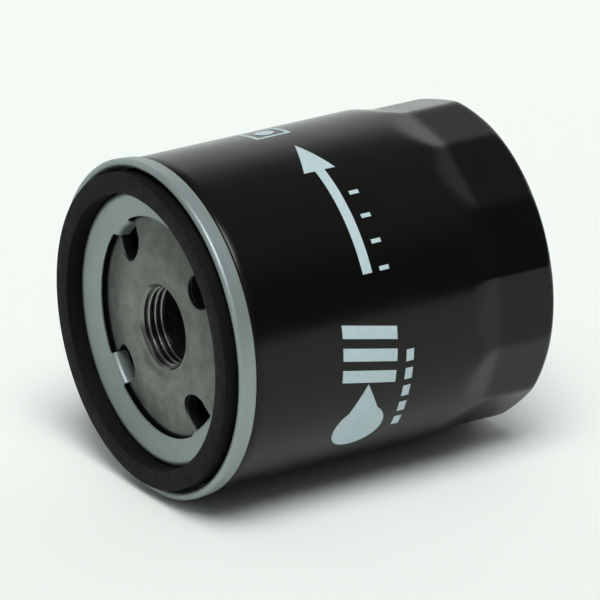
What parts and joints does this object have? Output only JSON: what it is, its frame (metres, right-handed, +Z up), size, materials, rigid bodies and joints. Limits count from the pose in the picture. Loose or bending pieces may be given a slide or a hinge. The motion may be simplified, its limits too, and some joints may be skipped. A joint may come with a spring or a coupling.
{
  "type": "oil filter",
  "caption": "Spin-on engine oil filter with a black fluted can, rolled zinc seam, rubber gasket, threaded tapping plate, pleated element, bypass valve and anti-drain membrane.",
  "frame": {"origin": "centre of the threaded hole's mouth", "axes": "+Y along the filter's axis from the threaded end to the dome, +Z up with the filter lying on its side"},
  "size_m": [0.0764, 0.0863, 0.0764],
  "materials": {
    "can_paint": "satin black enamel",
    "zinc_sheet": "satin zinc plate with fine rolling scratches",
    "sealant": "matt cured compound",
    "gasket_rubber": "matt moulded nitrile rubber",
    "phosphated_steel": "dull phosphated steel, mottled",
    "valve_rubber": "smooth matt rubber",
    "tinned_steel": "bright tinned sheet",
    "potting": "matt cured plastisol",
    "filter_paper": "resin-soaked creped paper",
    "seat_steel": "yellow-passivated zinc",
    "spring_steel": "drawn spring wire"
  },
  "bodies": {
    "housing": {"can": "can_paint", "seam_lid": "zinc_sheet", "seam_sealant": "sealant", "sealing_gasket": "gasket_rubber", "tapping_plate": "phosphated_steel", "lower_end_cap": "tinned_steel", "lower_potting": "potting", "centre_tube": "tinned_steel", "pleated_media": "filter_paper", "media_clip": "tinned_steel", "upper_potting": "potting", "upper_end_cap": "tinned_steel", "bypass_seat": "seat_steel", "bypass_spring": "spring_steel", "bypass_cage": "tinned_steel", "hold_down_spring": "spring_steel"},
    "bypass_valve": {"bypass_seal": "valve_rubber", "bypass_plunger": "seat_steel"},
    "drain_valve": {"anti_drain_valve": "valve_rubber"}
  },
  "joints": [
    {"name": "bypass_lift", "type": "slide", "parent": "housing", "child": "bypass_valve", "axis": [0, -1, 0], "range_m": [0, 0.003], "stiffness_N_per_m": 2000, "springref_m": -0.0045, "deforming": ["bypass_spring"]},
    {"name": "drain_valve_lift", "type": "slide", "parent": "housing", "child": "drain_valve", "axis": [0, 1, 0], "range_m": [0, 0.0015], "stiffness_N_per_m": 500, "springref_m": -0.001, "deforming": ["anti_drain_valve"]}
  ]
}
